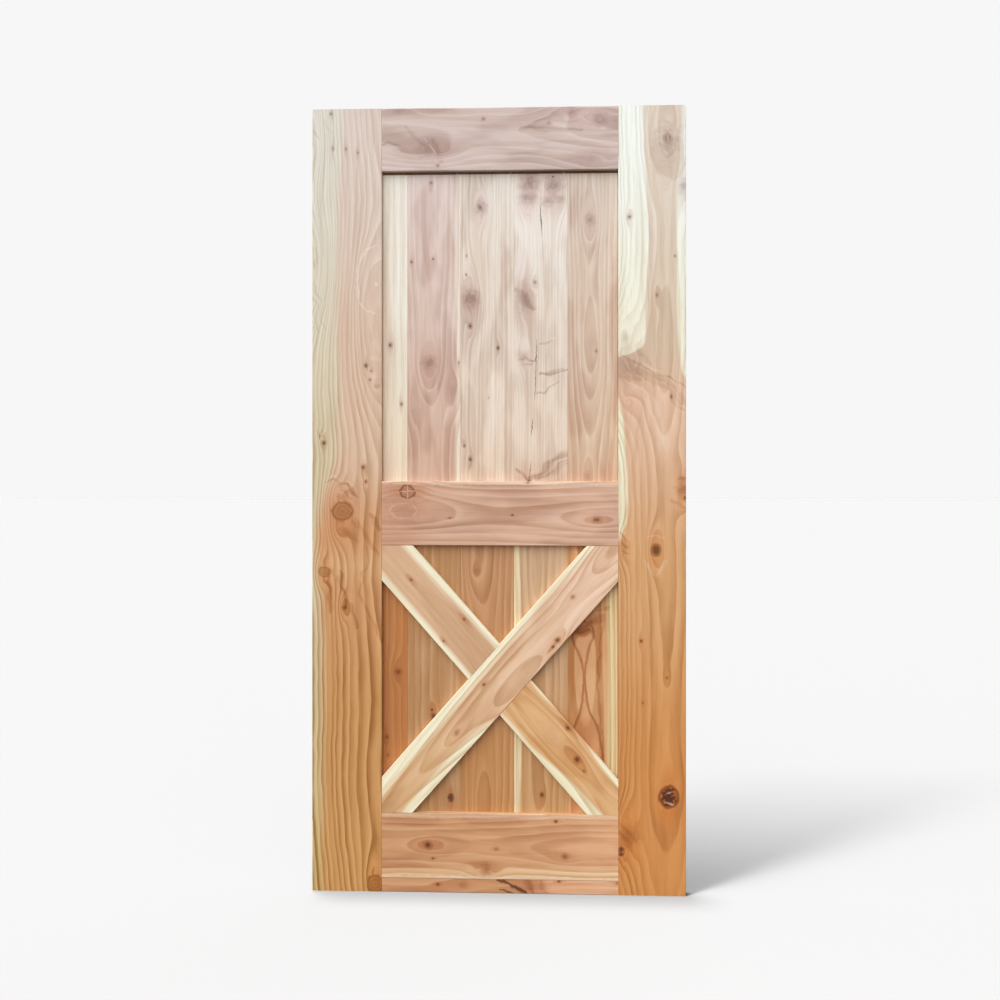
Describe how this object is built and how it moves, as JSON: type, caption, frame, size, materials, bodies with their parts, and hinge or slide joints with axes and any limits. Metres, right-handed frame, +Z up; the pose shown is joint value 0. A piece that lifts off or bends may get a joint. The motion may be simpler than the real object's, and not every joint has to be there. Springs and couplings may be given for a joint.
{
  "type": "sliding barn door leaf",
  "caption": "Framed timber barn door leaf: stiles and rails around upright tongue-and-groove boards, with a crossed brace flush in the lower opening. Hangs from a track.",
  "frame": {"origin": "middle of the bottom edge, half way through the thickness", "axes": "+X across the leaf to the right as seen from the braced front, +Y from front to back, +Z up"},
  "size_m": [1.016, 0.038, 2.134],
  "materials": {
    "stile_fir": "bare, planed, knotty fir",
    "rail_fir": "bare, planed, knotty fir",
    "upper_board_fir": "bare, planed, knotty fir, much of it sapwood",
    "lower_board_fir": "bare, planed, knotty fir heartwood",
    "brace_fir": "bare, planed, knotty fir with sapwood edges",
    "screw_steel": "dull zinc"
  },
  "bodies": {
    "root": {"left_stile": "stile_fir", "right_stile": "stile_fir", "top_rail": "rail_fir", "mid_rail": "rail_fir", "bottom_rail": "rail_fir", "foot_strip": "rail_fir", "upper_board_1": "upper_board_fir", "upper_board_2": "upper_board_fir", "upper_board_3": "upper_board_fir", "upper_board_4": "upper_board_fir", "upper_board_5": "upper_board_fir", "lower_board_1": "lower_board_fir", "lower_board_2": "lower_board_fir", "lower_board_3": "lower_board_fir", "lower_board_4": "lower_board_fir", "lower_board_5": "lower_board_fir", "long_brace": "brace_fir", "upper_short_brace": "brace_fir", "lower_short_brace": "brace_fir", "brace_screws": "screw_steel"}
  },
  "joints": []
}
